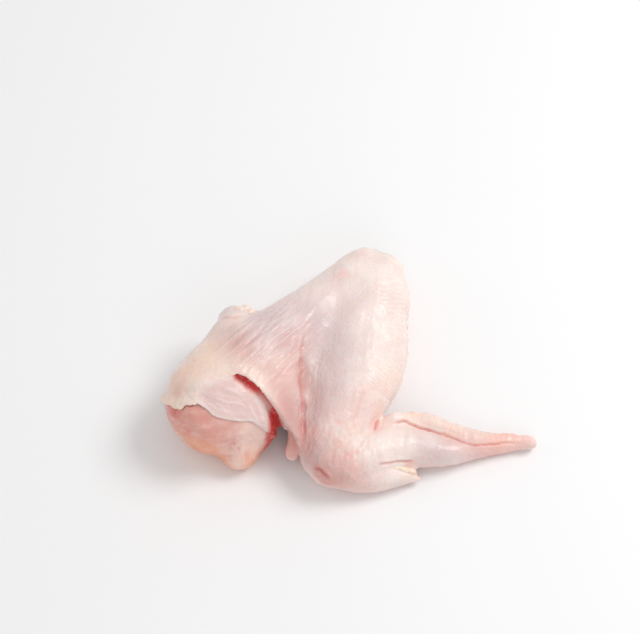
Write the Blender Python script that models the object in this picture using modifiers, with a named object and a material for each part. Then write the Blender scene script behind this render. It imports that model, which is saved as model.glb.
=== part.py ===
"""A raw chicken wing, whole: drumette, forearm and wing tip, folded as it lies on a table.

Metres, +Z up. The table is the plane z = 0. The elbow points away (+Y), the cut shoulder end
lies at the near left, and the wing tip points right (+X). The origin is the middle of the
wing's box, on the table.
"""

import math
from collections import namedtuple

import bmesh
import bpy
from mathutils import Matrix, Vector

MM = 0.001

# Joints of the skeleton, as seen from above. They set the length of each limb.
ELBOW = Vector((7.5, 37.0, 0)) * MM
WRIST = Vector((-3.5, -37.0, 0)) * MM
SHOULDER = Vector((-47.0, -16.0, 0)) * MM
TIP_END = Vector((66.0, -25.0, 0)) * MM
THUMB_ROOT = Vector((-1.0, -40.5, 0)) * MM
THUMB_END = Vector((22.0, -39.0, 0)) * MM

# The fold of skin between drumette and forearm. Its upper side runs from a line on the drumette
# to a bent line on the forearm. Each line starts at the elbow and ends at the free edge.
WEB_DRUMETTE_LINE = (Vector((1.5, 31.5, 26.0)) * MM, Vector((-41.0, -12.5, 36.0)) * MM)
WEB_FOREARM_LINE = (Vector((3.5, 31.0, 26.0)) * MM, Vector((-17.0, -38.3, 10.5)) * MM)
WEB_FOREARM_PULL = Vector((-19.5, 8.0, 26.5)) * MM
WEB_EDGE_PULL = Vector((-20.6, -24.6, 30.2)) * MM
WEB_THICKNESS = (12.0 * MM, 4.8 * MM)

# The skin of the drumette ends in two cuts that meet in a tongue; past them the flesh is bare.
# Each cut is a point of its plane and the direction that the plane faces.
SKIN_CUTS = (
    (Vector((-60.0, -15.2, 20.0)) * MM, Vector((-0.63, -0.78, 0.0))),
    (Vector((-47.5, -18.3, 30.0)) * MM, Vector((0.64, -0.77, 0.0))),
)

# Fineness of the lofts, and of the surface they are fused into.
RING_POINTS = 28
RINGS_PER_SPAN = 4
WEB_ROWS = 16
WEB_COLUMNS = 14
FUSE_VOXEL = 0.85 * MM
SOFTEN_STEPS = 10
KEEP_SHARE = 0.13
EVEN_OUT_STEPS = 4
SOFTEN_SHARE = 0.5
EVEN_OUT_SHARE = 0.3

# How far a limb's round cap stands out, as a share of its last section, and where it has rings.
CAP_SHARE = 0.8
CAP_RINGS = (0.5, 0.85)

# The block that flattens the wing where it rests. Its top is the table.
TABLE_BLOCK = Vector((200.0, 160.0, 20.0)) * MM

# One cross-section of a limb: its place along the bone as a share of the bone's length, its
# shift towards the right of the bone, its height over the table, and its half width and its
# heights above and below the middle, in mm.
Section = namedtuple("Section", "share shift height half_width above below")

FOREARM = (
    Section(-0.06, -3.0, 13.5, 10.2, 10.5, 11.5),
    Section(0.06, -1.8, 14.0, 14.8, 12.5, 14.0),
    Section(0.23, 0.5, 13.5, 17.4, 13.0, 14.0),
    Section(0.40, 1.5, 13.0, 19.7, 12.5, 13.5),
    Section(0.56, 1.4, 12.5, 18.0, 12.0, 13.0),
    Section(0.72, 3.3, 12.0, 13.9, 11.0, 12.4),
    Section(0.85, 4.1, 11.0, 11.6, 10.0, 11.4),
    Section(0.97, 3.2, 10.2, 11.0, 9.0, 10.4),
    Section(1.01, 0.7, 9.6, 9.1, 8.2, 9.4),
)
DRUMETTE = (
    Section(-0.03, 2.0, 14.0, 11.0, 11.0, 12.5),
    Section(0.13, 2.8, 14.6, 10.8, 11.6, 14.8),
    Section(0.30, 2.6, 15.3, 11.4, 12.4, 15.6),
    Section(0.45, 2.4, 16.2, 12.8, 13.6, 16.6),
    Section(0.60, 1.4, 17.2, 15.8, 15.4, 17.6),
    Section(0.73, 1.2, 18.0, 19.0, 17.0, 18.6),
    Section(0.86, 1.2, 18.0, 20.2, 17.5, 18.8),
    Section(1.00, 0.8, 18.0, 19.4, 17.0, 18.6),
    Section(1.13, 1.4, 17.0, 17.6, 15.5, 17.4),
    Section(1.24, 2.0, 16.0, 15.0, 13.0, 16.0),
)
HAND = (
    Section(0.02, 0.0, 10.0, 9.0, 8.0, 10.0),
    Section(0.17, -2.4, 9.0, 7.8, 7.5, 9.2),
    Section(0.30, -4.6, 8.0, 8.0, 6.8, 8.2),
    Section(0.43, -2.2, 7.0, 6.5, 6.0, 7.2),
    Section(0.56, -0.1, 5.9, 4.8, 4.9, 6.1),
    Section(0.74, -0.4, 4.6, 3.0, 3.6, 4.8),
    Section(0.89, -0.2, 3.7, 2.3, 2.8, 3.9),
    Section(1.00, 0.4, 3.2, 1.9, 2.3, 3.2),
)
TIP_STRIP = (
    Section(0.22, -11.4, 9.5, 2.4, 2.6, 5.0),
    Section(0.34, -13.9, 8.8, 3.3, 3.2, 6.0),
    Section(0.45, -12.9, 8.1, 3.6, 3.2, 6.0),
    Section(0.55, -9.6, 7.3, 3.4, 3.0, 5.6),
    Section(0.64, -6.2, 6.6, 3.0, 2.8, 5.2),
    Section(0.74, -3.5, 5.8, 2.5, 2.6, 4.6),
    Section(0.90, -1.6, 4.8, 2.1, 2.3, 3.8),
    Section(1.00, 0.0, 4.1, 1.8, 2.0, 3.2),
)
THUMB = (
    Section(0.00, 0.0, 7.6, 5.4, 5.3, 7.6),
    Section(0.35, 0.8, 6.6, 4.9, 4.5, 6.8),
    Section(0.70, 0.3, 5.6, 3.7, 3.6, 5.6),
    Section(1.00, 0.0, 5.0, 2.2, 2.3, 3.4),
)

# Bare flesh at the shoulder: the lobes of muscle that swell out of the skin's cut end.
FLESH_CORE = (
    Section(0.15, 2.8, 14.6, 9.8, 10.4, 13.4),
    Section(0.55, 1.2, 16.8, 13.2, 13.0, 15.8),
    Section(0.75, 0.5, 17.2, 17.4, 15.6, 17.6),
    Section(0.90, 0.7, 17.2, 18.6, 16.2, 17.6),
    Section(1.00, 1.0, 17.0, 18.2, 15.8, 17.4),
    Section(1.10, 1.8, 16.4, 16.6, 14.2, 17.0),
)
FLESH_LOBE_ROOT = Vector((-37.0, -17.0, 0)) * MM
FLESH_LOBE_END = Vector((-39.8, -33.0, 0)) * MM
FLESH_LOBE = (
    Section(0.00, 0.0, 14.0, 12.0, 12.0, 14.4),
    Section(0.40, 1.0, 12.0, 12.4, 10.5, 12.4),
    Section(0.75, 0.8, 9.2, 10.7, 8.0, 9.4),
    Section(1.00, -0.4, 7.0, 6.4, 5.2, 7.0),
)

# Rounded lumps, each by its middle, its three radii and its turn about Z, in mm and degrees:
# the fold of fat on the far side of the drumette, its root, and the muscle under the web.
FAT_FOLD = ((-43.0, 15.8, 22.0), (6.2, 4.4, 5.4), 35)
FAT_FOLD_ROOT = ((-43.5, 10.0, 20.5), (13.0, 6.0, 10.0), 42)
FLESH_UNDER_WEB = ((-33.5, -20.5, 14.0), (10.0, 9.0, 12.5), 0)

# The thin flap that hangs under the free edge of the web.
FLAP_ROOT = Vector((-20.0, -19.0, 0)) * MM
FLAP_END = Vector((-20.9, -32.6, 0)) * MM
FLAP = (
    Section(0.00, 0.0, 14.0, 2.6, 2.2, 2.6),
    Section(0.45, 0.0, 9.5, 2.5, 1.7, 2.0),
    Section(0.80, 0.2, 6.2, 3.3, 1.5, 1.7),
    Section(1.00, 0.0, 4.8, 2.6, 1.4, 1.6),
)


def clear_scene():
    for item in list(bpy.data.objects):
        bpy.data.objects.remove(item, do_unlink=True)


def smooth_between(before, low, high, after, share):
    """A point of the smooth curve through low and high, on a Catmull-Rom spline."""
    square, cube = share * share, share * share * share
    return 0.5 * (
        2 * low
        + (high - before) * share
        + (2 * before - 5 * low + 4 * high - after) * square
        + (3 * low - before - 3 * high + after) * cube
    )


def finer(sections):
    """The same cross-sections with smooth ones between them."""
    last = len(sections) - 1
    for index in range(last):
        four = [sections[min(max(index + step, 0), last)] for step in (-1, 0, 1, 2)]
        for step in range(RINGS_PER_SPAN):
            share = step / RINGS_PER_SPAN
            yield Section(*(smooth_between(*values, share) for values in zip(*four)))
    yield sections[last]


def ring_of(shape, centre, side, section, shrink):
    """One closed ring of points round a cross-section."""
    ring = []
    for index in range(RING_POINTS):
        angle = 2 * math.pi * index / RING_POINTS
        rise = section.above if math.sin(angle) > 0 else section.below
        point = centre + side * (section.half_width * MM * shrink * math.cos(angle))
        point.z += rise * MM * shrink * math.sin(angle)
        ring.append(shape.verts.new(point))
    return ring


def limb(shape, start, end, sections):
    """Lofts a closed limb through its cross-sections, with a round cap on each end."""
    bone = end - start
    length = bone.length
    along = bone.normalized()
    across = Vector((along.y, -along.x, 0))
    rows = list(finer(sections))
    centres = []
    for row in rows:
        centre = start + along * (row.share * length) + across * (row.shift * MM)
        centre.z = row.height * MM
        centres.append(centre)
    rings = []
    for index, (row, centre) in enumerate(zip(rows, centres)):
        ahead = centres[min(index + 1, len(rows) - 1)] - centres[max(index - 1, 0)]
        heading = Vector((ahead.x, ahead.y, 0)).normalized()
        side = Vector((heading.y, -heading.x, 0))
        cap_depth = CAP_SHARE * min(row.half_width, row.above) * MM
        if index == 0:
            pole_first = shape.verts.new(centre - heading * cap_depth)
            for lift in reversed(CAP_RINGS):
                back = centre - heading * (cap_depth * lift)
                rings.append(ring_of(shape, back, side, row, math.sqrt(1 - lift * lift)))
        rings.append(ring_of(shape, centre, side, row, 1.0))
        if index == len(rows) - 1:
            for lift in CAP_RINGS:
                front = centre + heading * (cap_depth * lift)
                rings.append(ring_of(shape, front, side, row, math.sqrt(1 - lift * lift)))
            pole_last = shape.verts.new(centre + heading * cap_depth)
    for low, high in zip(rings, rings[1:]):
        for index in range(RING_POINTS):
            after = (index + 1) % RING_POINTS
            shape.faces.new((low[index], low[after], high[after], high[index]))
    for index in range(RING_POINTS):
        after = (index + 1) % RING_POINTS
        shape.faces.new((rings[0][after], rings[0][index], pole_first))
        shape.faces.new((rings[-1][index], rings[-1][after], pole_last))


def cut_off(shape, place, facing):
    """Cuts the shape by a plane, drops what lies past it and closes the cut."""
    everything = [*shape.verts, *shape.edges, *shape.faces]
    cut = bmesh.ops.bisect_plane(
        shape, geom=everything, plane_co=place, plane_no=facing, clear_outer=True
    )
    rim = [item for item in cut["geom_cut"] if isinstance(item, bmesh.types.BMEdge)]
    bmesh.ops.holes_fill(shape, edges=rim)


def lump(shape, centre, radii, turn):
    """A rounded lump of flesh: a sphere stretched to three radii and turned about Z."""
    made = bmesh.ops.create_uvsphere(shape, u_segments=24, v_segments=14, radius=MM)
    cos, sin = math.cos(math.radians(turn)), math.sin(math.radians(turn))
    for vert in made["verts"]:
        x, y, z = (vert.co[axis] * radii[axis] for axis in range(3))
        vert.co = Vector((x * cos - y * sin, x * sin + y * cos, z)) + Vector(centre) * MM


def bent(start, pull, end, step):
    """A point of the curve that leaves start and reaches end, drawn towards pull."""
    return start * (1 - step) ** 2 + pull * (2 * step * (1 - step)) + end * step**2


def web(shape):
    """The sheet of skin between drumette and forearm, a closed slab of gently curved rows."""
    rows, columns = WEB_ROWS, WEB_COLUMNS
    layers = []
    for is_top in (True, False):
        grid = []
        for row in range(rows + 1):
            reach = row / rows
            left = WEB_DRUMETTE_LINE[0].lerp(WEB_DRUMETTE_LINE[1], reach)
            right = bent(WEB_FOREARM_LINE[0], WEB_FOREARM_PULL, WEB_FOREARM_LINE[1], reach)
            pull = ((left + right) / 2).lerp(WEB_EDGE_PULL, reach * reach)
            thickness = WEB_THICKNESS[0] + (WEB_THICKNESS[1] - WEB_THICKNESS[0]) * reach
            line = []
            for column in range(columns + 1):
                point = bent(left, pull, right, column / columns)
                if not is_top:
                    point.z -= thickness
                line.append(shape.verts.new(point))
            grid.append(line)
        layers.append(grid)
    top, bottom = layers
    rim = [(0, column) for column in range(columns)]
    rim += [(row, columns) for row in range(rows)]
    rim += [(rows, column) for column in range(columns, 0, -1)]
    rim += [(row, 0) for row in range(rows, 0, -1)]
    for row in range(rows):
        for column in range(columns):
            for grid, order in ((top, 1), (bottom, -1)):
                corners = (
                    grid[row][column],
                    grid[row + 1][column],
                    grid[row + 1][column + 1],
                    grid[row][column + 1],
                )
                shape.faces.new(corners[::order])
    for here, there in zip(rim, rim[1:] + rim[:1]):
        upper = (top[here[0]][here[1]], top[there[0]][there[1]])
        lower = (bottom[there[0]][there[1]], bottom[here[0]][here[1]])
        shape.faces.new(upper + lower)


def flesh_material():
    material = bpy.data.materials.new("raw_chicken_skin")
    material.use_nodes = True
    shader = material.node_tree.nodes["Principled BSDF"]
    shader.inputs["Base Color"].default_value = (0.83, 0.66, 0.60, 1)
    shader.inputs["Roughness"].default_value = 0.42
    shader.inputs["Metallic"].default_value = 0.0
    return material


def wing_shape():
    shape = bmesh.new()
    limb(shape, ELBOW, SHOULDER, DRUMETTE)
    for place, facing in SKIN_CUTS:
        cut_off(shape, place, facing)
    limb(shape, ELBOW, WRIST, FOREARM)
    limb(shape, WRIST, TIP_END, HAND)
    limb(shape, WRIST, TIP_END, TIP_STRIP)
    limb(shape, THUMB_ROOT, THUMB_END, THUMB)
    web(shape)
    limb(shape, FLAP_ROOT, FLAP_END, FLAP)
    lump(shape, *FAT_FOLD)
    lump(shape, *FAT_FOLD_ROOT)
    limb(shape, ELBOW, SHOULDER, FLESH_CORE)
    limb(shape, FLESH_LOBE_ROOT, FLESH_LOBE_END, FLESH_LOBE)
    lump(shape, *FLESH_UNDER_WEB)
    bmesh.ops.recalc_face_normals(shape, faces=shape.faces)
    mesh = bpy.data.meshes.new("chicken_wing")
    shape.to_mesh(mesh)
    shape.free()
    return mesh


def table_cutter():
    """A block whose top is the table, to flatten the wing where it rests."""
    shape = bmesh.new()
    bmesh.ops.create_cube(shape, size=1.0)
    for point in shape.verts:
        point.co = Vector(a * b for a, b in zip(point.co, TABLE_BLOCK))
        point.co.z -= TABLE_BLOCK.z / 2
    mesh = bpy.data.meshes.new("table")
    shape.to_mesh(mesh)
    shape.free()
    block = bpy.data.objects.new("table", mesh)
    block.display_type = "WIRE"
    block.hide_render = True
    return block


def settle(wing):
    """Makes the modified shape final and moves it so that its box stands on the origin."""
    graph = bpy.context.evaluated_depsgraph_get()
    mesh = bpy.data.meshes.new_from_object(wing.evaluated_get(graph))
    wing.modifiers.clear()
    wing.data = mesh
    mesh.name = "chicken_wing"
    low = [min(point.co[axis] for point in mesh.vertices) for axis in range(3)]
    high = [max(point.co[axis] for point in mesh.vertices) for axis in range(3)]
    middle = Vector(((low[0] + high[0]) / 2, (low[1] + high[1]) / 2, low[2]))
    mesh.transform(Matrix.Translation(-middle))


def main():
    clear_scene()
    parts = bpy.data.collections.new("raw_chicken_wing")
    cutters = bpy.data.collections.new("cutters")
    for group in (parts, cutters):
        bpy.context.scene.collection.children.link(group)
    wing = bpy.data.objects.new("chicken_wing", wing_shape())
    parts.objects.link(wing)
    wing.data.materials.append(flesh_material())
    table = table_cutter()
    cutters.objects.link(table)

    fuse = wing.modifiers.new("fuse", "REMESH")
    fuse.mode = "VOXEL"
    fuse.voxel_size = FUSE_VOXEL
    soften = wing.modifiers.new("soften", "SMOOTH")
    soften.factor = SOFTEN_SHARE
    soften.iterations = SOFTEN_STEPS
    thin_out = wing.modifiers.new("thin_out", "DECIMATE")
    thin_out.ratio = KEEP_SHARE
    even_out = wing.modifiers.new("even_out", "SMOOTH")
    even_out.factor = EVEN_OUT_SHARE
    even_out.iterations = EVEN_OUT_STEPS
    rest = wing.modifiers.new("rest", "BOOLEAN")
    rest.operation = "DIFFERENCE"
    rest.solver = "EXACT"
    rest.object = table
    settle(wing)


main()
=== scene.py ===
"""Looks of a raw chicken wing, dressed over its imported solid. Lengths here are in millimetres."""

import math

import bmesh
import bpy
import numpy as np
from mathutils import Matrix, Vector
from mathutils.bvhtree import BVHTree


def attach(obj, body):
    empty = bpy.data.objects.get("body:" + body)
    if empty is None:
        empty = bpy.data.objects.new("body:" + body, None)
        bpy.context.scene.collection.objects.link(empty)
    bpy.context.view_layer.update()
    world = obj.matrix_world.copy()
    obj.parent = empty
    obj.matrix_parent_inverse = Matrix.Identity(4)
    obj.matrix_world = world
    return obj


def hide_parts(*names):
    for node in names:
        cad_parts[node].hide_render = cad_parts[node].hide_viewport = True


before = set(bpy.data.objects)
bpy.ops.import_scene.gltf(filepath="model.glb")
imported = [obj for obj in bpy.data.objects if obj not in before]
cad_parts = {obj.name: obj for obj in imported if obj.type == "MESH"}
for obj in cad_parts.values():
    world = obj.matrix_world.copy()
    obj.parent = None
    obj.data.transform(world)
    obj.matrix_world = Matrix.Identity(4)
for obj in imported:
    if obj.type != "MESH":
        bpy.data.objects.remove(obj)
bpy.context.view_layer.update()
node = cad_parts["chicken_wing"]
MM = 0.001

# Table, light and camera
# The wing lies on a white table in soft daylight from all round, a little stronger from the
# upper right. The camera looks down on it from the near side, sixty degrees above the table.
CAMERA_HEIGHT_ANGLE = math.radians(60)
CAMERA_LENS = 100.0
CAMERA_DISTANCE = 649.0
CAMERA_AIM = Vector((-11.16, 14.74, 21.67))
PHOTO_WIDE, PHOTO_HIGH = 640.0, 634.0
SENSOR = 36.0
TABLE_HALF = 1.5
TABLE_WHITE = (0.93, 0.93, 0.93, 1)
DAYLIGHT_STRENGTH = 0.58


def in_scene(name, data):
    """A new object with that name and data, at the scene's origin."""
    made = bpy.data.objects.new(name, data)
    bpy.context.scene.collection.objects.link(made)
    return made


def new_finish(name):
    """A new material, with its tree and its shader."""
    finish = bpy.data.materials.new(name)
    finish.use_nodes = True
    return finish, finish.node_tree, finish.node_tree.nodes["Principled BSDF"]


view_along = Vector((0, math.cos(CAMERA_HEIGHT_ANGLE), -math.sin(CAMERA_HEIGHT_ANGLE)))
view_up = Vector((0, math.sin(CAMERA_HEIGHT_ANGLE), math.cos(CAMERA_HEIGHT_ANGLE)))
eye = CAMERA_AIM - view_along * CAMERA_DISTANCE
camera_data = bpy.data.cameras.new("camera")
camera_data.lens = CAMERA_LENS
camera_data.sensor_width = SENSOR
camera_data.clip_start = 0.01
camera_data.clip_end = 20
camera = in_scene("camera", camera_data)
camera.location = eye * MM
camera.rotation_euler = (math.pi / 2 - CAMERA_HEIGHT_ANGLE, 0, 0)
bpy.context.scene.camera = camera
bpy.context.scene.view_settings.view_transform = "Standard"

table_mesh = bpy.data.meshes.new("table")
corners = [(x * TABLE_HALF, y * TABLE_HALF, 0) for x, y in ((-1, -1), (1, -1), (1, 1), (-1, 1))]
table_mesh.from_pydata(corners, [], [(0, 1, 2, 3)])
table = in_scene("table", table_mesh)
table_finish, _, table_shader = new_finish("white_table")
table_shader.inputs["Base Color"].default_value = TABLE_WHITE
table_shader.inputs["Roughness"].default_value = 0.6
table_mesh.materials.append(table_finish)

world = bpy.data.worlds.new("daylight")
bpy.context.scene.world = world
world.use_nodes = True
sky = world.node_tree.nodes["Background"]
sky.inputs["Color"].default_value = (1.0, 1.0, 1.0, 1)
sky.inputs["Strength"].default_value = DAYLIGHT_STRENGTH

for name, place, size, power in (
    # place and size in metres, power in watts
    ("window", (0.50, 0.20, 0.70), 0.40, 3.6),
    ("front_panel", (0.15, -0.75, 0.55), 0.50, 0.9),
    ("left_panel", (-0.75, 0.10, 0.45), 0.50, 0.5),
):
    lamp_data = bpy.data.lights.new(name, "AREA")
    lamp_data.size = size
    lamp_data.energy = power
    lamp = in_scene(name, lamp_data)
    lamp.location = place
    lamp.rotation_euler = Vector(place).to_track_quat("Z", "Y").to_euler()


# Wing surface
# One fine skin-tight surface is taken from the solid. The skin and the bare shoulder flesh are
# both cut from it, as they are one body in the bird.
SURFACE_STEP = 0.5
SURFACE_SOFTENING = 14


def modified_mesh(item):
    """The plain mesh that an object's modifiers make. The modifiers are taken off it."""
    graph = bpy.context.evaluated_depsgraph_get()
    made = bpy.data.meshes.new_from_object(item.evaluated_get(graph))
    item.modifiers.clear()
    return made


def fine_surface(source, step, softening):
    """A closed, even and finely divided copy of a coarse faceted mesh."""
    shape = bmesh.new()
    shape.from_mesh(source.data)
    bmesh.ops.remove_doubles(shape, verts=shape.verts, dist=1e-6)
    mesh = bpy.data.meshes.new("fine_surface")
    shape.to_mesh(mesh)
    shape.free()
    item = in_scene("fine_surface", mesh)
    remesh = item.modifiers.new("remesh", "REMESH")
    remesh.mode = "VOXEL"
    remesh.voxel_size = step * MM
    soften = item.modifiers.new("soften", "SMOOTH")
    soften.factor = 0.5
    soften.iterations = softening
    fine = modified_mesh(item)
    bpy.data.objects.remove(item)
    return fine


def points_of(mesh):
    """The mesh's points in millimetres, one row each."""
    flat = np.empty(len(mesh.vertices) * 3)
    mesh.vertices.foreach_get("co", flat)
    return flat.reshape(-1, 3) / MM


def normals_of(mesh):
    """The mesh's outward normals, one row a point."""
    flat = np.empty(len(mesh.vertices) * 3)
    mesh.vertex_normals.foreach_get("vector", flat)
    return flat.reshape(-1, 3)


surface = fine_surface(node, SURFACE_STEP, SURFACE_SOFTENING)
skin_at = points_of(surface)
outward = normals_of(surface)
faces = [tuple(face.vertices) for face in surface.polygons]
face_corners = np.array(faces)


def ease(value, low, high):
    """0 at low, 1 at high and smooth between."""
    t = np.clip((value - low) / (high - low), 0, 1)
    return t * t * (3 - 2 * t)


RELAX_PULL = 0.7


def relaxed(at, weight, rounds):
    """The points drawn towards their neighbours' mean, round by round, where weight is above 0."""
    pairs = np.array([tuple(edge.vertices) for edge in surface.edges])
    ends = np.concatenate([pairs, pairs[:, ::-1]])
    ends = ends[weight[ends[:, 0]] > 0]
    count = np.maximum(np.bincount(ends[:, 0], minlength=len(at)), 1)
    at = at.copy()
    for _ in range(rounds):
        for axis in range(3):
            mean = np.bincount(ends[:, 0], at[ends[:, 1], axis], len(at)) / count
            at[:, axis] += weight * RELAX_PULL * (mean - at[:, axis])
    return at


def flat_distance(at, stops):
    """Distance of each point to a line of straight stretches, by the first two coordinates."""
    nearest = np.full(len(at), np.inf)
    for (x1, y1), (x2, y2) in zip(stops, stops[1:]):
        run, rise = x2 - x1, y2 - y1
        share = ((at[:, 0] - x1) * run + (at[:, 1] - y1) * rise) / (run * run + rise * rise)
        share = np.clip(share, 0, 1)
        gap = np.hypot(at[:, 0] - x1 - share * run, at[:, 1] - y1 - share * rise)
        nearest = np.minimum(nearest, gap)
    return nearest


# The solid's limbs and web meet in small steps. In the bird one skin runs over them.
STEP_LINES = (
    # seen from above, with how far the easing reaches to each side and how often it is done
    (((-71, -8.5), (-52.4, -23.5)), 5, 60),
    (((-52, -23.5), (-43.5, -17.5)), 5, 60),
    (((-4, 18), (-12, 0), (-16.0, -18), (-17.0, -31)), 7, 110),
    (((-28, -6), (-12, 5), (-2, 20)), 6, 60),
)
STEPS_ABOVE, STEPS_FADE = 12, 4
for stops, reach, rounds in STEP_LINES:
    ease_weight = 1 - ease(flat_distance(skin_at, stops), reach / 2, reach)
    ease_weight *= ease(skin_at[:, 2], STEPS_ABOVE, STEPS_ABOVE + STEPS_FADE)
    skin_at = relaxed(skin_at, ease_weight, rounds)
surface.vertices.foreach_set("co", (skin_at * MM).ravel())
surface.update()
outward = normals_of(surface)
wing_tree = BVHTree.FromPolygons([Vector(place) for place in skin_at], faces)


# The photograph's pixels, as this camera sees them: its focal length in pixels, and how many
# millimetres of the wing one pixel shows.
focal = CAMERA_LENS / SENSOR * PHOTO_WIDE
pixel = CAMERA_DISTANCE / focal


def seen_at(across, down):
    """The point of the wing that the photograph shows at that pixel, or None off the wing."""
    ray = Vector(((across - PHOTO_WIDE / 2) / focal, 0, 0)) + view_along
    ray += view_up * ((PHOTO_HIGH / 2 - down) / focal)
    return wing_tree.ray_cast(eye, ray.normalized())[0]


def pixels_of(at):
    """Where the photograph shows each point, in pixels across and down."""
    gap = at - np.array(tuple(eye))
    depth = gap @ np.array(tuple(view_along))
    down = PHOTO_HIGH / 2 - gap @ np.array(tuple(view_up)) / depth * focal
    return np.stack([PHOTO_WIDE / 2 + gap[:, 0] / depth * focal, down], 1)


in_photo = pixels_of(skin_at)


def chance(cells, seed):
    """One random number from 0 to 1 for each cell of a grid, the same every time."""
    x, y, z = (cells[..., axis].astype(np.int64) for axis in range(3))
    # Large odd factors scatter the numbers of neighbouring cells.
    mixed = (x * 73856093) ^ (y * 19349663) ^ (z * 83492791) ^ (seed * 2654435761)
    mixed = (mixed ^ (mixed >> 13)) * 1274126177
    return ((mixed ^ (mixed >> 16)) & 0xFFFFFF) / 0xFFFFFF


def cloudy(at, grain, seed, octaves=3):
    """Soft random relief between about -1 and 1. grain is its size, one number or one an axis."""
    total = np.zeros(len(at))
    strength, spread = 1.0, 0.0
    scaled = at / np.array(grain, float)
    for octave in range(octaves):
        cell = np.floor(scaled)
        t = scaled - cell
        t = t * t * (3 - 2 * t)
        for corner in np.ndindex(2, 2, 2):
            weight = np.prod(np.where(corner, t, 1 - t), axis=1)
            total += strength * weight * (2 * chance(cell + corner, seed + octave) - 1)
        spread += strength
        strength *= 0.5
        # The next layer is twice as fine, and shifted so that the two grids don't line up.
        scaled = scaled * 2.03 + 17.3
    return total / spread * 1.6


# Skin and flesh apart
# The skin was cut through round the shoulder. It ends in a thick torn lip on the left, and runs
# out to the right in a thin membrane that still covers the muscle. Past that edge meat is bare.
CUT_EDGE = (
    # pixels of the photograph, from the thick lip on the left to the web's free edge, and then
    # below and left of all the flesh
    (162, 398), (166, 402), (170, 403), (175, 406), (181, 407), (186, 405), (191, 405), (195, 402),
    (199, 403), (203, 407), (209, 412), (216, 417), (228, 420), (240, 421), (250, 421), (256, 424),
    (262, 429), (268, 432), (275, 430), (284, 428), (281, 437), (279, 460), (279, 580), (80, 580),
    (80, 398),
)
THIN_FROM, THICK_FROM = -50.0, -56.0
RAGGED_THICK, RAGGED_THIN = 1.1, 0.2


def inside_outline(at, outline):
    """Distance of each point into a closed outline by its first two coordinates, or below 0."""
    inside = np.zeros(len(at), bool)
    closed = outline + outline[:1]
    for (x1, y1), (x2, y2) in zip(closed, closed[1:]):
        if y1 != y2:
            crossing = (at[:, 1] < y1) != (at[:, 1] < y2)
            inside ^= crossing & (at[:, 0] < x1 + (x2 - x1) * (at[:, 1] - y1) / (y2 - y1))
    return np.where(inside, 1, -1) * flat_distance(at, closed)


skin_thick = 1 - ease(skin_at[:, 0], THICK_FROM, THIN_FROM)
ragged = RAGGED_THIN + (RAGGED_THICK - RAGGED_THIN) * skin_thick
past_cut = pixel * inside_outline(in_photo, CUT_EDGE) + ragged * cloudy(skin_at, 3, 11)


def cut_out(past_least, past_most, places):
    """A bmesh of the part of the wing surface between two distances past the skin's edge."""
    part = bmesh.new()
    layer = part.verts.layers.int.new("from_surface")
    points = [part.verts.new(place) for place in places * MM]
    for row, point in enumerate(points):
        point[layer] = row
    face_past = past_cut[face_corners].mean(1)
    for corners in face_corners[(face_past > past_least) & (face_past < past_most)]:
        part.faces.new([points[corner] for corner in corners])
    loose = [point for point in points if not point.link_faces]
    bmesh.ops.delete(part, geom=loose, context="VERTS")
    part.verts.ensure_lookup_table()
    return part


def keep_largest(part):
    """Removes loose crumbs of surface, so that one sheet is left."""
    part.verts.index_update()
    part.verts.ensure_lookup_table()
    group = np.full(len(part.verts), -1)
    count = 0
    for start in part.verts:
        if group[start.index] >= 0:
            continue
        group[start.index] = count
        queue = [start]
        while queue:
            for edge in queue.pop().link_edges:
                for vert in edge.verts:
                    if group[vert.index] < 0:
                        group[vert.index] = count
                        queue.append(vert)
        count += 1
    largest = np.bincount(group).argmax()
    crumbs = [vert for vert in part.verts if group[vert.index] != largest]
    bmesh.ops.delete(part, geom=crumbs, context="VERTS")


def edge_ring(part):
    """The open edge of a sheet: its edges, its points and each point's two neighbours."""
    edges = [edge for edge in part.edges if edge.is_boundary]
    beside = {}
    for edge in edges:
        a, b = edge.verts
        beside.setdefault(a, []).append(b)
        beside.setdefault(b, []).append(a)
    return edges, beside


def soften_edge(part, rounds):
    """Takes the small steps out of a sheet's open edge."""
    _, beside = edge_ring(part)
    for _ in range(rounds):
        moved = {
            vert: vert.co * 0.5 + sum((other.co for other in others), Vector()) / len(others) * 0.5
            for vert, others in beside.items()
        }
        for vert, place in moved.items():
            vert.co = place


def outward_along(part, beside):
    """For each edge point, the way out of the sheet within its own surface, and its normal."""
    way = {}
    for vert in beside:
        inside = Vector()
        for face in vert.link_faces:
            inside += face.calc_center_median() - vert.co
        normal = vert.normal.normalized()
        inside -= normal * inside.dot(normal)
        way[vert] = (-inside.normalized(), normal)
    return way


def turn_edge_under(part, steps, thickness):
    """Rolls a sheet's open edge over, so that its thickness shows.

    Each step is how far the new row lies outwards and below the old one, at full thickness.
    """
    _, beside = edge_ring(part)
    ways = outward_along(part, beside)
    layer = part.verts.layers.int["from_surface"]
    edges = [edge for edge in part.edges if edge.is_boundary]
    for outwards, below in steps:
        made = bmesh.ops.extrude_edge_only(part, edges=edges)["geom"]
        new_verts = [item for item in made if isinstance(item, bmesh.types.BMVert)]
        edges = [
            item for item in made if isinstance(item, bmesh.types.BMEdge) and item.is_boundary
        ]
        next_ways = {}
        for vert in new_verts:
            old = next(
                edge.other_vert(vert) for edge in vert.link_edges if edge.other_vert(vert) in ways
            )
            way, normal = ways[old]
            vert.co = old.co + (way * outwards - normal * below) * thickness[old[layer]] * MM
            vert[layer] = old[layer]
            next_ways[vert] = ways[old]
        ways = next_ways


def add_mask(mesh, name, values):
    """Keeps one value a point on the mesh, for its material or its nodes to read."""
    layer = mesh.attributes.new(name, "FLOAT", "POINT")
    layer.data.foreach_set("value", np.asarray(values, np.float32))


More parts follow.
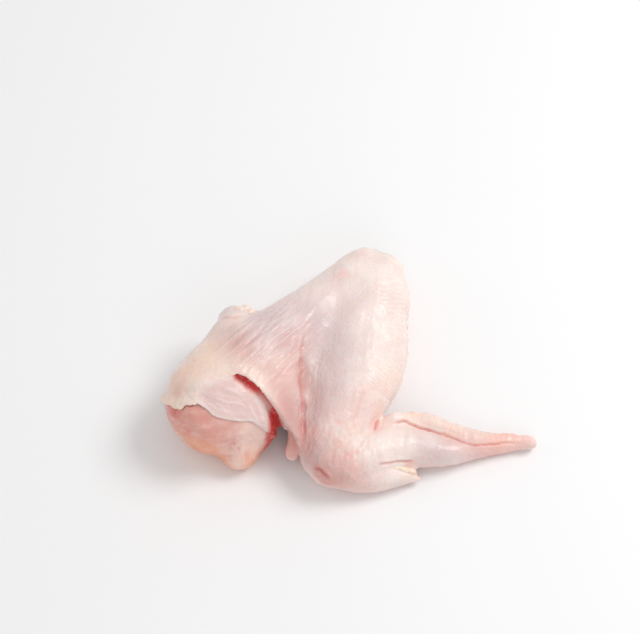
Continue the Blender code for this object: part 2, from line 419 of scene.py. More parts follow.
def shade_smooth(mesh):
    """Shades all of a mesh smoothly."""
    mesh.polygons.foreach_set("use_smooth", np.ones(len(mesh.polygons), bool))


def piece_from(part, name, masks):
    """A finished piece from a sheet, carrying the masks that its material reads."""
    mesh = bpy.data.meshes.new(name)
    bmesh.ops.recalc_face_normals(part, faces=part.faces)
    part.to_mesh(mesh)
    part.free()
    rows = np.empty(len(mesh.vertices), np.int32)
    mesh.attributes["from_surface"].data.foreach_get("value", rows)
    for mask_name, mask in masks.items():
        add_mask(mesh, mask_name, np.clip(mask, 0, 1)[rows])
    mesh.attributes.remove(mesh.attributes["from_surface"])
    shade_smooth(mesh)
    return in_scene(name, mesh)


def dress(piece, finish=None):
    """Gives a piece its material, unless it has one, and tells the frame what it stands for."""
    if finish:
        piece.data.materials.append(finish)
    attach(piece, "root")
    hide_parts("chicken_wing")


# Skin
# Thin, pale, slack skin over fat, plucked and wet. It is stretched between drumette and forearm
# in fine diagonal wrinkles, gathered in one deep crease along the forearm, and dimpled with the
# pores of its feathers. The open edge at the shoulder is thick, torn and buttery with fat.
# How far each row of the rolled edge lies outwards of the last one, and below it
SKIN_ROLL = ((0.25, 0.3), (0.0, 0.45), (-0.5, 0.4), (-1.4, 0.1))
SKIN_LIFT = 0.8
THICK_SCALE, THIN_SCALE = 1.5, 0.2
CREASES = (
    # pixels of the photograph, width and depth in millimetres, and how red the bottom is painted,
    # its own redness together with painted shade
    ([(306, 320), (302, 345), (301, 360), (301, 372), (300, 380), (301, 391), (303, 403),
      (303, 415), (303, 436), (302, 452)], 0.8, 0.5, 0.6),
    ([(298, 405), (299, 420), (298, 436)], 0.45, 0.15, 0.3),
    ([(291, 314), (281, 326), (262, 348)], 0.6, 0.12, 0.1),
    ([(296, 324), (284, 337), (272, 352)], 0.5, 0.14, 0.2),
    ([(276, 313), (262, 330), (240, 351)], 0.6, 0.12, 0.1),
    ([(299, 334), (295, 345), (290, 358)], 0.5, 0.2, 0.4),
    ([(268, 308), (250, 328), (228, 348)], 0.6, 0.12, 0.1),
    ([(364, 388), (358, 409), (352, 428)], 0.6, 0.16, 0.2),
    ([(361, 388), (355, 407), (349, 424)], 0.5, 0.1, 0.1),
    ([(341, 430), (334, 441), (336, 452)], 0.7, 0.2, 0.1),
    ([(331, 447), (333, 456), (330, 465)], 0.6, 0.2, 0.2),
    ([(374, 431), (376, 425), (379, 419)], 0.45, 0.3, 0.9),
    ([(386, 424), (396, 423), (404, 421), (411, 424), (421, 429), (433, 432), (445, 435),
      (456, 439), (467, 443), (478, 445), (494, 444), (512, 443), (528, 446)], 0.45, 0.5, 1.0),
    ([(376, 465), (390, 463), (402, 462), (414, 462)], 0.5, 0.45, 0.6),
    ([(220, 321), (225, 318), (234, 318), (243, 316)], 0.6, 0.25, 0.3),
    ([(313, 468), (318, 470), (323, 474), (330, 479)], 0.7, 0.6, 0.9),
)
# The thumb's end, how far round it the skin is drawn out, and by how much
THUMB_END = (22.4, -41.7, 2.3)
THUMB_END_REACH, THUMB_END_OUT = 1.7, 3.4
DIMPLES_AND_LUMPS = (
    # pixel of the photograph, radius, and height in millimetres, which is below 0 for a dimple
    (319, 471, 1.2, -0.5), (345, 452, 1.3, -0.3), (186, 391, 1.0, -0.3), (387, 253, 6, -1.3),
    (405, 298, 5, -0.9), (407, 315, 4, -0.6), (314, 474, 4, -0.8), (162, 396, 2.2, 1.8),
    (232, 311, 4.0, 0.7), (388, 419, 2.0, 0.6), (395, 417, 2.4, 1.3), (405, 415, 2.0, 0.3),
    (414, 412, 1.2, 0.4), (437, 418, 1.2, 0.35), (532, 443, 3.0, 0.8),
)
# Where the skin is pulled into wrinkles: pixel of the photograph, radius and strength
WEB_WRINKLES = ((265, 335, 12, 1), (283, 342, 11, 1), (290, 365, 6, 0.5), (245, 350, 9, 0.8),
                (272, 315, 10, 0.8))
FOLD_WRINKLES = ((306, 365, 7, 1), (306, 395, 8, 1), (306, 425, 8, 1), (308, 450, 7, 0.8))
WRIST_WRINKLES = ((325, 455, 10, 1), (345, 465, 11, 1), (372, 462, 9, 0.6), (340, 435, 9, 0.6))
# The web's free edge and what lies round it, in pixels of the photograph
WEB_EDGE = ((233, 375), (238, 374), (246, 377), (255, 384), (263, 393), (270, 402), (276, 410),
            (282, 420), (284, 428))
BELOW_WEB = WEB_EDGE + ((284, 470), (200, 470), (205, 388))
RAW = ((231, 372), (238, 367), (248, 371), (258, 378), (267, 388), (275, 397), (281, 405),
       (287, 415), (290, 428), (284, 441), (275, 453), (263, 459), (260, 454), (265, 444),
       (267, 434), (268, 424), (268, 416), (269, 409), (266, 404), (260, 398), (252, 393),
       (245, 388), (239, 383), (234, 380))
MEMBRANE = ((203, 408), (199, 396), (204, 386), (222, 378), (234, 378), (241, 385), (254, 394),
            (267, 408), (270, 424), (266, 440), (240, 430), (220, 425))
WEB_RIM = 0.35
POCKET_DEPTH = 1.5
HERRINGBONE_SPACING, HERRINGBONE_LEAN = 1.5, 2.0
MEMBRANE_LINES = (
    # pixels of the photograph, and width in millimetres
    ([(199, 402), (204, 406), (210, 411), (216, 416), (228, 419), (240, 420), (252, 420),
      (258, 424), (262, 428)], 0.45),
    ([(249, 402), (252, 410), (256, 418), (260, 425)], 0.5),
    ([(254, 397), (259, 405), (262, 414), (264, 424)], 0.6),
    ([(212, 397), (226, 402), (238, 403), (247, 408)], 0.35),
    ([(224, 388), (234, 391), (244, 397)], 0.4),
    ([(206, 402), (218, 409), (232, 412)], 0.3),
)
# Edges that carry pleats, in pixels of the photograph
TRAILING_EDGE = [(397, 268), (402, 290), (404, 310), (405, 330), (406, 345), (404, 360),
                 (398, 374), (391, 387), (385, 398)]
TIP_TOP_EDGE = [(395, 414), (410, 415), (425, 419), (440, 424), (455, 429), (470, 433),
                (490, 434), (510, 435), (528, 437)]
PLEAT_SPACING, PLEAT_WANDER = 1.6, 0.9
PLEATED_EDGES = (
    # line, and how far the pleats reach from it and how high they are, in millimetres
    (TRAILING_EDGE, 16, 0.16), (TIP_TOP_EDGE, 4, 0.05),
)
# Heights of relief, in millimetres
UNEVENNESS, FINE_GRAIN, LIMB_STREAKS = 0.25, 0.05, 0.08
WEB_WRINKLE, FOLD_WRINKLE, WRIST_WRINKLE, WRIST_BUMP = 0.5, 0.22, 0.34, 0.1
SLACK_WRINKLE, SLACK_LUMP = 0.35, 0.22
HERRINGBONE_RISE, STRAND_RISE, MEMBRANE_RIPPLE, EDGE_LUMP = 0.13, 0.2, 0.16, 0.5


def smooth_line(stops, count):
    """Points along a smooth line through a few stops, which are pixels of the photograph."""
    stops = np.array(stops, float)
    padded = np.vstack([2 * stops[0] - stops[1], stops, 2 * stops[-1] - stops[-2]])
    line = []
    # The last share stays just short of the last stop, where no stretch begins.
    for share in np.linspace(0, len(stops) - 1.0001, count):
        index = int(share)
        t = share - index
        a, b, c, d = padded[index:index + 4]
        line.append(
            0.5 * (2 * b + (c - a) * t + (2 * a - 5 * b + 4 * c - d) * t**2
                   + (3 * b - a - 3 * c + d) * t**3)
        )
    return line


def line_on_wing(stops, count=90):
    """A smooth line laid on the wing's surface through a few pixels of the photograph."""
    found = [seen_at(*stop) for stop in smooth_line(stops, count)]
    return np.array([tuple(place) for place in found if place is not None])


FAR = 1e3


def from_line(line, reach):
    """Distance of the skin to a line, the share of its length there, and the side it is on.

    The side is positive to the right of the line, seen from above. Points past reach are far.
    """
    distance = np.full(len(skin_at), FAR)
    share = np.zeros(len(skin_at))
    side = np.zeros(len(skin_at))
    low, high = line.min(0) - reach, line.max(0) + reach
    near = np.nonzero(((skin_at > low) & (skin_at < high)).all(1))[0]
    gap = skin_at[near][:, None, :] - line[None, :, :]
    length = np.linalg.norm(gap, axis=2)
    best = length.argmin(1)
    heading = np.gradient(line, axis=0)
    turned = np.stack([heading[:, 1], -heading[:, 0]], 1)
    rows = np.arange(len(near))
    distance[near] = length[rows, best]
    share[near] = best / (len(line) - 1)
    side[near] = np.sign((gap[rows, best][:, :2] * turned[best]).sum(1))
    return distance, share, side


def around(spots):
    """How much each point of the skin belongs to some soft round spots.

    A spot is a pixel across and down, its radius in millimetres and its strength.
    """
    total = np.zeros(len(skin_at))
    for across, down, radius, strength in spots:
        place = seen_at(across, down)
        if place is not None:
            gap = ((skin_at - np.array(tuple(place))) ** 2).sum(1)
            total = np.maximum(total, 0) + strength * np.exp(-gap / radius**2)
    return total


def drawn_out(heading, long, wide, seed):
    """Random relief drawn out along a heading, in degrees from +X towards +Y."""
    cos, sin = math.cos(math.radians(heading)), math.sin(math.radians(heading))
    x, y, z = skin_at.T
    turned = np.stack([x * cos + y * sin, y * cos - x * sin, z], 1)
    return cloudy(turned, (long, wide, 2 * wide), seed, 2)


CREASE_LIP, CREASE_WANDER, CREASE_ENDS = 0.5, 0.28, 0.15


def ends_faded(share, reach):
    """1 along a line and 0 at both its ends, by the share of its length."""
    return ease(share, 0, reach) * ease(1 - share, 0, reach)


def crease(stops, width, depth):
    """Height of a groove with a raised lip on each side, through pixels, and how deep in it."""
    distance, share, side = from_line(line_on_wing(stops), 5 * width)
    wandered = np.abs(distance * side + CREASE_WANDER * cloudy(skin_at, 2.6, 12, 2))
    distance = np.where(distance < FAR, wandered, FAR)
    fade = ends_faded(share, CREASE_ENDS)
    groove = fade * np.exp(-((distance / width) ** 2))
    banks = fade * np.exp(-(((distance - 2 * width) / width) ** 2))
    return depth * (CREASE_LIP * banks - groove), groove


def length_of(line):
    """Length of a line of points."""
    return np.linalg.norm(np.diff(line, axis=0), axis=1).sum()


def ridged(noise, sharpness):
    """Turns soft relief into thin raised ridges, from 0 between them to 1 on top."""
    return (1 - np.minimum(np.abs(noise), 1)) ** sharpness


height = UNEVENNESS * cloudy(skin_at, 9, 1) + FINE_GRAIN * cloudy(skin_at, 1.3, 2, 2)
web_pull = np.clip(around(WEB_WRINKLES), 0, 1)
fold_pull = np.clip(around(FOLD_WRINKLES), 0, 1)
wrist_pull = np.clip(around(WRIST_WRINKLES), 0, 1)
web_ridges = ridged(drawn_out(49, 15, 1.9, 3), 2)
height += WEB_WRINKLE * web_pull * web_ridges
height += FOLD_WRINKLE * fold_pull * ridged(drawn_out(84, 4, 1.1, 4), 2)
height += WRIST_WRINKLE * wrist_pull * ridged(drawn_out(75, 3.5, 2.0, 5), 2)
height += LIMB_STREAKS * drawn_out(84, 16, 1.8, 6)
height += WRIST_BUMP * wrist_pull * cloudy(skin_at, 1.5, 10, 2)

# The side that the photograph doesn't show hangs slacker, in a few long soft wrinkles.
turned_away = ease(outward @ np.array(tuple(view_along)), -0.35, 0.1)
slack = turned_away * np.clip(0.6 + cloudy(skin_at, 16, 51), 0, 1)
slack_ridges = ridged(drawn_out(35, 9, 2.4, 52), 2)
height += slack * (SLACK_WRINKLE * slack_ridges + SLACK_LUMP * cloudy(skin_at, 4, 53))

crease_red_and_shade = np.zeros(len(skin_at))
for stops, width, depth, redness in CREASES:
    raised, groove = crease(stops, width, depth)
    height += raised
    crease_red_and_shade = np.maximum(crease_red_and_shade, groove * redness)
for spot in DIMPLES_AND_LUMPS:
    height += around([spot])

# Fine pleats run in from the trailing edge and from the tip's upper edge.
pleat_tops = np.zeros(len(skin_at))
for edge, spread, rise in PLEATED_EDGES:
    line = line_on_wing(edge, 200)
    distance, share, _ = from_line(line, spread + 2)
    along = share * length_of(line) + PLEAT_WANDER * cloudy(skin_at, 7, 7)
    pleat = np.cos(along * 2 * math.pi / PLEAT_SPACING)
    pleat *= (1 - ease(distance, 0, spread)) * ease(share, 0, 0.1)
    height += rise * pleat
    pleat_tops += pleat

# A braid of small slanting bumps lies along the right side of the long crease.
line = line_on_wing(CREASES[0][0], 200)
distance, share, side = from_line(line, 6)
tick = share * length_of(line) / HERRINGBONE_SPACING + distance / HERRINGBONE_LEAN
beside_fold = (side > 0) * ease(distance, 0.2, 0.8) * (1 - ease(distance, 2.0, 4.5))
beside_fold *= ease(share, 0.4, 0.6) * ease(1 - share, 0, 0.1)
height += HERRINGBONE_RISE * beside_fold * np.cos(2 * math.pi * tick)

# Under the web's free edge the skin sinks into a hollow, where the meat shows red.
from_web = pixel * flat_distance(in_photo, WEB_EDGE)
below_web = inside_outline(in_photo, BELOW_WEB) > 0
middle = ease(in_photo[:, 0], 243, 251) * (1 - ease(in_photo[:, 0], 264, 271))
pocket = (1 - ease(from_web, 0.6, 5 - 2.2 * middle)) * ease(in_photo[:, 0], 231, 242)
pocket *= 1 - 0.35 * middle
height += WEB_RIM * ~below_web * np.exp(-((from_web / 1.6) ** 2))
height -= POCKET_DEPTH * below_web * pocket
raw_side = pixel * inside_outline(in_photo, RAW)
raw = ease(raw_side, -1.0, 1.7) * np.maximum(below_web, past_cut > 0)
raw = np.maximum(raw, below_web * (from_web < 0.9) * (raw_side > 0)
                 * ease(in_photo[:, 0], 233, 240))

membrane = ease(pixel * inside_outline(in_photo, MEMBRANE), -1.5, 2.5) * (1 - raw)
strands = np.zeros(len(skin_at))
for stops, width in MEMBRANE_LINES:
    distance, share, _ = from_line(line_on_wing(stops), 4)
    strands = np.maximum(strands, ends_faded(share, 0.2) * np.exp(-((distance / width) ** 2)))
height += STRAND_RISE * strands + MEMBRANE_RIPPLE * membrane * drawn_out(-8, 7, 1.0, 9)

# The thumb's skin is drawn out to a point, and the torn lip at the shoulder stands up thick.
to_thumb_end = np.linalg.norm(skin_at - np.array(THUMB_END), axis=1) / THUMB_END_REACH
drawn = THUMB_END_OUT * np.exp(-(to_thumb_end**2)) * ease(outward[:, 0], 0.1, 0.9)

near_edge = ease(past_cut, -6, -0.5) * skin_thick
height += EDGE_LUMP * near_edge * cloudy(skin_at, 2.8, 8)
edge_thickness = THIN_SCALE + (THICK_SCALE - THIN_SCALE) * skin_thick
height += SKIN_LIFT * edge_thickness * ease(past_cut, -4, 0) * ease(skin_at[:, 2], 2, 6)
on_table = 1 - ease(skin_at[:, 2], 0.2, 1.5)
height *= 1 - on_table
skin_places = skin_at + outward * height[:, None]
skin_places[:, 0] += drawn
skin_places[:, 2] = np.maximum(skin_places[:, 2], 0)

# Where the skin is pinker, lavender and more buttery, and where shade is painted on it in lavender
# or in pink-brown: pixel, radius and strength.
blotches = cloudy(skin_at, 8, 21)
mottle = cloudy(skin_at, 2.5, 22)
blush = around((
    (292, 372, 6, 0.2), (278, 388, 7, 0.1), (285, 412, 6, 0.2), (292, 436, 6, 0.2),
    (298, 462, 6, 0.2), (297, 272, 7, 0.4), (285, 290, 7, 0.35), (320, 478, 5, 0.3),
    (335, 484, 8, 0.25), (376, 428, 3, 0.3), (318, 400, 6, 0.2), (290, 340, 8, 0.15),
    (272, 370, 9, 0.25), (240, 345, 8, 0.25), (460, 443, 5, 0.25), (500, 443, 6, 0.6),
    (524, 442, 6, 0.45), (392, 466, 4, 0.4), (480, 447, 6, 0.35),
    (410, 463, 2, 0.8), (388, 414, 3, 0.5), (376, 420, 4, 0.5),
    (290, 447, 7, 0.7), (340, 460, 8, 0.2), (383, 322, 3, 0.3), (450, 433, 4, 0.4),
    (425, 430, 4, 0.2), (345, 415, 7, 0.25), (365, 400, 8, 0.2),
    (340, 274, 3, 0.4), (316, 430, 6, 0.3), (360, 484, 8, 0.2), (186, 372, 8, 0.2),
))
# It is pinker near the table, where it turns away and in the creases, where the colour is partly
# painted shade, and paler on the pleats.
blush += 0.15 * blotches + (0.06 + 0.2 * wrist_pull) * mottle
blush += 0.25 * ease(-skin_at[:, 2], -9, 0)
blush -= 0.12 * pleat_tops
blush += turned_away * (0.12 + 0.3 * cloudy(skin_at, 13, 54))
blush = np.maximum(blush, 0.7 * crease_red_and_shade)
# Painted shade: a dull pink-brown darkening along the long crease, under the web's free edge, round
# the wrist and its dark slit, and at the torn lip.
painted_shade = around((
    (290, 345, 6, 0.3), (285, 372, 7, 0.3), (272, 372, 6, 0.15), (282, 400, 6, 0.35),
    (289, 418, 5, 0.5), (294, 436, 5, 0.55), (299, 456, 6, 0.45), (302, 380, 4, 0.4),
    (303, 405, 3, 0.7), (304, 425, 3, 0.7), (304, 445, 4, 0.7), (309, 385, 4, 0.3),
    (222, 330, 5, 0.25), (320, 474, 3, 0.4), (328, 480, 5, 0.4), (238, 345, 6, 0.3),
    (302, 345, 4, 0.4), (318, 330, 8, 0.25), (330, 400, 9, 0.25), (330, 360, 9, 0.2),
    (345, 300, 8, 0.15), (480, 448, 5, 0.3), (430, 452, 7, 0.3), (395, 440, 6, 0.15),
    (310, 460, 6, 0.35), (322, 440, 8, 0.2), (345, 470, 9, 0.2), (262, 318, 6, 0.3),
    (240, 345, 7, 0.35), (270, 345, 8, 0.2), (290, 395, 6, 0.2), (301, 372, 3, 0.9),
    (302, 385, 3, 0.5), (302, 360, 2.5, 0.5), (318, 473, 2, 0.8), (324, 477, 2.5, 0.5),
    (291, 410, 6, 0.35), (296, 430, 5, 0.3), (345, 462, 7, 0.25), (360, 484, 8, 0.3),
    (340, 484, 6, 0.3), (325, 455, 7, 0.2), (306, 472, 5, 0.3), (304, 370, 2.5, 0.6),
    (178, 392, 3, 0.5), (326, 479, 3, 0.6), (321, 474, 2.5, 1.0), (304, 372, 2.5, 0.4),
))
# Lavender-grey: partly the skin's own tone, partly painted shade, as in the band right of the long
# crease and on the forearm's flank by the fold.
lavender_and_shade = around((
    (318, 325, 9, 0.5), (282, 318, 9, 0.8), (262, 335, 8, 0.7), (240, 348, 7, 0.5),
    (345, 350, 9, 0.3), (332, 385, 8, 0.3), (318, 405, 6, 0.4), (306, 455, 6, 0.5),
    (335, 275, 6, 0.5), (425, 452, 9, 0.6), (455, 450, 8, 0.6), (228, 309, 5, 0.7),
    (400, 440, 9, 0.15), (425, 440, 8, 0.35), (385, 450, 7, 0.1), (480, 450, 6, 0.4),
    (395, 480, 6, 0.3), (350, 478, 8, 0.3), (262, 312, 7, 0.6), (228, 330, 5, 0.4),
    (268, 368, 8, 0.35), (290, 342, 8, 0.35), (283, 400, 7, 0.2), (240, 342, 7, 0.3),
    (310, 300, 8, 0.5), (348, 300, 8, 0.3), (312, 440, 6, 0.6),
    (328, 362, 11, 0.35), (290, 338, 6, 0.3), (270, 320, 8, 0.4),
    (335, 330, 11, 0.35), (334, 400, 9, 0.3), (311, 415, 4, 0.6), (315, 462, 6, 0.4),
    (285, 395, 6, 0.3), (290, 425, 5, 0.3),
)) + 0.2 * cloudy(skin_at, 7, 23) + turned_away * (0.15 + 0.3 * cloudy(skin_at, 11, 55))
butter = around((
    (215, 345, 9, 0.7), (190, 372, 8, 0.6), (234, 326, 5, 0.6), (176, 388, 6, 0.6),
    (280, 382, 7, 0.35), (284, 400, 5, 0.25), (292, 350, 6, 0.2),
    (262, 368, 6, 0.5), (353, 429, 2, 1.0), (340, 442, 3, 0.5), (410, 471, 3, 0.9),
    (205, 360, 8, 0.5), (248, 365, 7, 0.4), (377, 366, 2, 0.6), (262, 378, 6, 0.4),
    (398, 412, 4, 0.6), (412, 416, 4, 0.7), (430, 422, 4, 0.8), (448, 428, 4, 0.8),
    (466, 434, 4, 0.8), (484, 437, 4, 0.7), (502, 437, 4, 0.6), (515, 438, 3, 0.4),
    (350, 410, 5, 0.4), (385, 380, 6, 0.3), (330, 448, 3, 0.4), (372, 440, 5, 0.2),
    (178, 392, 4, 0.6),
)) + 0.15 * cloudy(skin_at, 5, 24) + 0.4 * ease(past_cut, -4, -0.5) * skin_thick
# Painted light: the hand and the tip's upper strip, which face the light, are painted paler by
# taking most of the pink, lavender and painted shade off them.
painted_light_paler = 1 - np.clip(around((
    (400, 448, 7, 0.8), (385, 440, 6, 0.6), (410, 421, 3, 0.6), (430, 437, 3, 0.5),
    (448, 432, 3, 0.4), (396, 470, 4, 0.5), (372, 452, 5, 0.4),
)), 0, 1)
skin_masks = {
    "blush": painted_light_paler * blush * (1 - 0.6 * membrane),
    "lavender_and_shade": painted_light_paler * lavender_and_shade,
    "painted_shade": painted_light_paler * painted_shade,
    "butter": butter * (1 - membrane),
    "crease": crease_red_and_shade,
    "membrane": membrane,
    # Along the web's wrinkles the strands' pale tint is a painted highlight on their ridges.
    "strands": np.maximum(strands, 0.5 * web_pull * web_ridges),
    "raw": raw,
}

skin_part = cut_out(-np.inf, 0, skin_places)
keep_largest(skin_part)
soften_edge(skin_part, 4)
skin_part.normal_update()
turn_edge_under(skin_part, SKIN_ROLL, edge_thickness)
skin = piece_from(skin_part, "skin", skin_masks)


def tint(red, green, blue):
    """A colour given as in a paint chart, 0 to 255, in the linear light that shaders use."""
    linear = []
    for value in (red, green, blue):
        value /= 255
        linear.append(value / 12.92 if value < 0.04045 else ((value + 0.055) / 1.055) ** 2.4)
    return (*linear, 1)


def node_in(tree, kind, inputs=None, **settings):
    """A node with its settings and inputs. An input is a value or another node's output."""
    made = tree.nodes.new(kind)
    for name, value in settings.items():
        setattr(made, name, value)
    for name, value in (inputs or {}).items():
        if isinstance(value, bpy.types.NodeSocket):
            tree.links.new(value, made.inputs[name])
        else:
            made.inputs[name].default_value = value
    return made


def mixed(tree, share, under, over):
    """One colour over another by a share from 0 to 1."""
    mix = node_in(tree, "ShaderNodeMix", data_type="RGBA")
    for index, value in ((0, share), (6, under), (7, over)):
        if isinstance(value, bpy.types.NodeSocket):
            tree.links.new(value, mix.inputs[index])
        else:
            mix.inputs[index].default_value = value
    return mix.outputs[2]


def times(tree, one, other):
    """The product of two values, held between 0 and 1."""
    product = node_in(tree, "ShaderNodeMath", {0: one, 1: other}, operation="MULTIPLY")
    product.use_clamp = True
    return product.outputs[0]


def ranged(tree, value, low, high, to_low, to_high):
    """A value brought smoothly from one range to another."""
    spread = node_in(
        tree,
        "ShaderNodeMapRange",
        {"Value": value, "From Min": low, "From Max": high, "To Min": to_low, "To Max": to_high},
        interpolation_type="SMOOTHSTEP",
    )
    return spread.outputs[0]


def grain(tree, size, detail=3.0, rough=0.55, stretch=None, kind="ShaderNodeTexNoise"):
    """Noise fixed to the piece, in millimetres of grain, stretched along an axis if asked."""
    place = node_in(tree, "ShaderNodeTexCoord").outputs["Object"]
    if stretch:
        turn, scale = stretch
        place = node_in(
            tree,
            "ShaderNodeMapping",
            {"Vector": place, "Rotation": (0, 0, -math.radians(turn)), "Scale": scale},
            vector_type="POINT",
        ).outputs[0]
    inputs = {"Vector": place, "Scale": 1000 / size}
    if kind == "ShaderNodeTexNoise":
        inputs.update({"Detail": detail, "Roughness": rough})
    return node_in(tree, kind, inputs).outputs


def mask_of(tree, name):
    """A mask that the piece carries on its points."""
    return node_in(tree, "ShaderNodeAttribute", attribute_name=name).outputs["Fac"]


def two_toned(tree, size, spread, one, other):
    """Two tints in soft patches of a size in millimetres, mixed over a spread of the noise."""
    return mixed(tree, ranged(tree, grain(tree, size)[0], *spread, 0, 1), tint(*one), tint(*other))


def tinted(tree, colour, layers):
    """The colour with tints laid over it, each by a mask of the piece and a strength."""
    for mask, strength, over in layers:
        colour = mixed(tree, times(tree, mask_of(tree, mask), strength), colour, tint(*over))
    return colour


def wet_film_group():
    """Meat juice on a raw surface: wetter and drier patches, as coat, roughness and beading."""
    group = bpy.data.node_groups.new("wet_film", "ShaderNodeTree")
    side = group.interface
    for name, value in (("Patch Size", 6.0), ("Wettest", 1.0), ("Roughness Dry", 0.5)):
        socket = side.new_socket(name, in_out="INPUT", socket_type="NodeSocketFloat")
        socket.default_value = value
    for name in ("Coat", "Roughness", "Beading"):
        side.new_socket(name, in_out="OUTPUT", socket_type="NodeSocketFloat")
    into = group.nodes.new("NodeGroupInput")
    out = group.nodes.new("NodeGroupOutput")
    place = node_in(group, "ShaderNodeTexCoord").outputs["Object"]
    size = node_in(group, "ShaderNodeMath", {0: 1000.0, 1: into.outputs["Patch Size"]},
                   operation="DIVIDE").outputs[0]
    patches = node_in(group, "ShaderNodeTexNoise", {"Vector": place, "Scale": size,
                                                    "Detail": 3.0, "Roughness": 0.6}).outputs[0]
    beads = node_in(group, "ShaderNodeTexNoise", {"Vector": place, "Scale": 900.0,
                                                  "Detail": 2.0}).outputs[0]
    wet = ranged(group, patches, 0.42, 0.62, 0.25, 1.0)
    wet = times(group, wet, into.outputs["Wettest"])
    group.links.new(wet, out.inputs["Coat"])
    drier = node_in(group, "ShaderNodeMapRange", {"Value": wet, "From Min": 0.0, "From Max": 1.0,
                                                  "To Max": 0.22})
    group.links.new(into.outputs["Roughness Dry"], drier.inputs["To Min"])
    group.links.new(drier.outputs[0], out.inputs["Roughness"])
    group.links.new(times(group, beads, wet), out.inputs["Beading"])
    return group


wet_film = wet_film_group()


def wetted(tree, shader, patch_size, wettest, dry, drier=None):
    """Wets a finish with the film, less where drier is below 1, and returns its beading."""
    film = node_in(tree, "ShaderNodeGroup", {
        "Patch Size": patch_size, "Wettest": wettest, "Roughness Dry": dry}, node_tree=wet_film)
    coat = film.outputs["Coat"]
    if drier is not None:
        coat = times(tree, coat, drier)
    tree.links.new(coat, shader.inputs["Coat Weight"])
    tree.links.new(film.outputs["Roughness"], shader.inputs["Roughness"])
    return film.outputs["Beading"]


def bumped(tree, height, distance, strength, under=None):
    """Fine relief of a height in millimetres, over other relief where it is given."""
    inputs = {"Height": height, "Distance": distance * MM, "Strength": strength}
    if under is not None:
        inputs["Normal"] = under
    return node_in(tree, "ShaderNodeBump", inputs).outputs[0]


def glow_within(shader, weight, reach, scale):
    """Lets light spread below the surface: its weight, reach by colour, and scale in mm."""
    shader.inputs["Subsurface Weight"].default_value = weight
    shader.inputs["Subsurface Radius"].default_value = reach
    shader.inputs["Subsurface Scale"].default_value = scale * MM


RAW_TINT = (206, 22, 14)
skin_finish, tree, shader = new_finish("raw_chicken_skin")
colour = two_toned(tree, 9, (0.3, 0.7), (252, 236, 229), (243, 224, 216))
colour = tinted(tree, colour, (
    # mask, strength and tint
    ("butter", 0.7, (252, 220, 198)),
    # lavender tone, partly painted shade
    ("lavender_and_shade", 0.6, (208, 190, 194)),
    # painted shade
    ("painted_shade", 0.7, (194, 144, 138)),
    ("blush", 0.7, (244, 164, 152)),
    ("membrane", 0.75, (230, 194, 190)),
    # red crease bottoms, partly painted shade
    ("crease", 0.65, (212, 102, 92)),
    # pale membrane strands, and painted highlight on the web's wrinkle ridges
    ("strands", 0.5, (250, 234, 228)),
    ("raw", 0.97, RAW_TINT),
))
flecks = ranged(tree, grain(tree, 1.6, 3, 0.6)[0], 0.48, 0.72, 0, 0.13)
colour = mixed(tree, flecks, colour, tint(228, 178, 170))
pores = grain(tree, 1.15, kind="ShaderNodeTexVoronoi")["Distance"]
rougher = ranged(tree, grain(tree, 6)[0], 0.35, 0.65, 0.3, 1)
pore_tops = times(tree, ranged(tree, pores, 0.0, 0.55, 1, 0), rougher)
# The pore tops are also painted near-white, a painted highlight on each small bump.
colour = mixed(tree, times(tree, pore_tops, 0.15), colour, tint(255, 246, 240))
tree.links.new(colour, shader.inputs["Base Color"])
beads = wetted(tree, shader, 7.0, 0.35, 0.5, ranged(tree, mask_of(tree, "raw"), 0, 1, 1, 0.15))
bump = bumped(tree, pore_tops, 0.2, 0.6)
bump = bumped(tree, grain(tree, 0.8, 2)[0], 0.14, 0.6, bump)
tree.links.new(bumped(tree, beads, 0.1, 0.5, bump), shader.inputs["Normal"])
glow_within(shader, 0.2, (1.0, 0.4, 0.3), 2.5)
shader.inputs["Coat Roughness"].default_value = 0.12
shader.inputs["Specular IOR Level"].default_value = 0.3
dress(skin, skin_finish)


# Shoulder flesh
# Where the wing was cut from the bird the muscle is bare: smooth pink meat in a thin clear
# membrane, with a silver tendon sheet towards the web and an orange rim by the cut.
FLESH_UNDER_SKIN = 4.0
FLESH_SUNK = 1.3
# Soft spots and a line in pixels of the photograph
# Painted shade: the flap's top, tucked under the web's free edge, is painted darker red.
FLAP_TOP_SHADE = ((286, 432, 3, 0.9), (288, 438, 3, 0.5))
RIM_LINE = ((165, 431), (178, 442), (200, 452), (216, 458), (226, 466), (236, 472), (248, 469),
            (257, 460), (262, 452))
LOBE_ROOT = ((228, 447, 6, 0.7), (238, 449, 7, 0.8), (249, 446, 6, 0.7), (272, 434, 4, 0.9))
FLESH_UNEVENNESS, FLESH_STREAKS, FLESH_STRIPES = 0.25, 0.10, 0.2
flesh_height = FLESH_UNEVENNESS * cloudy(skin_at, 7, 31)
flesh_height += FLESH_STREAKS * drawn_out(70, 14, 1.6, 32)
striped = around(((246, 436, 5, 1), (238, 446, 6, 1), (250, 448, 5, 0.8)))
stripes = ridged(drawn_out(86, 14, 1.4, 37), 2)
flesh_height += FLESH_STRIPES * striped * stripes
flesh_height -= FLESH_SUNK * edge_thickness * (1 - ease(past_cut, -1.5, 1.2))
flesh_height -= POCKET_DEPTH * pocket * (from_web < 6)
flesh_height *= ease(skin_at[:, 2], 0.2, 1.5)
lobe_root = np.clip(around(LOBE_ROOT), 0, 1) * ease(skin_at[:, 2], 1, 4)
flesh_places = relaxed(skin_at, lobe_root, 120) + outward * flesh_height[:, None]
flesh_places[:, 2] = np.maximum(flesh_places[:, 2], 0.0)

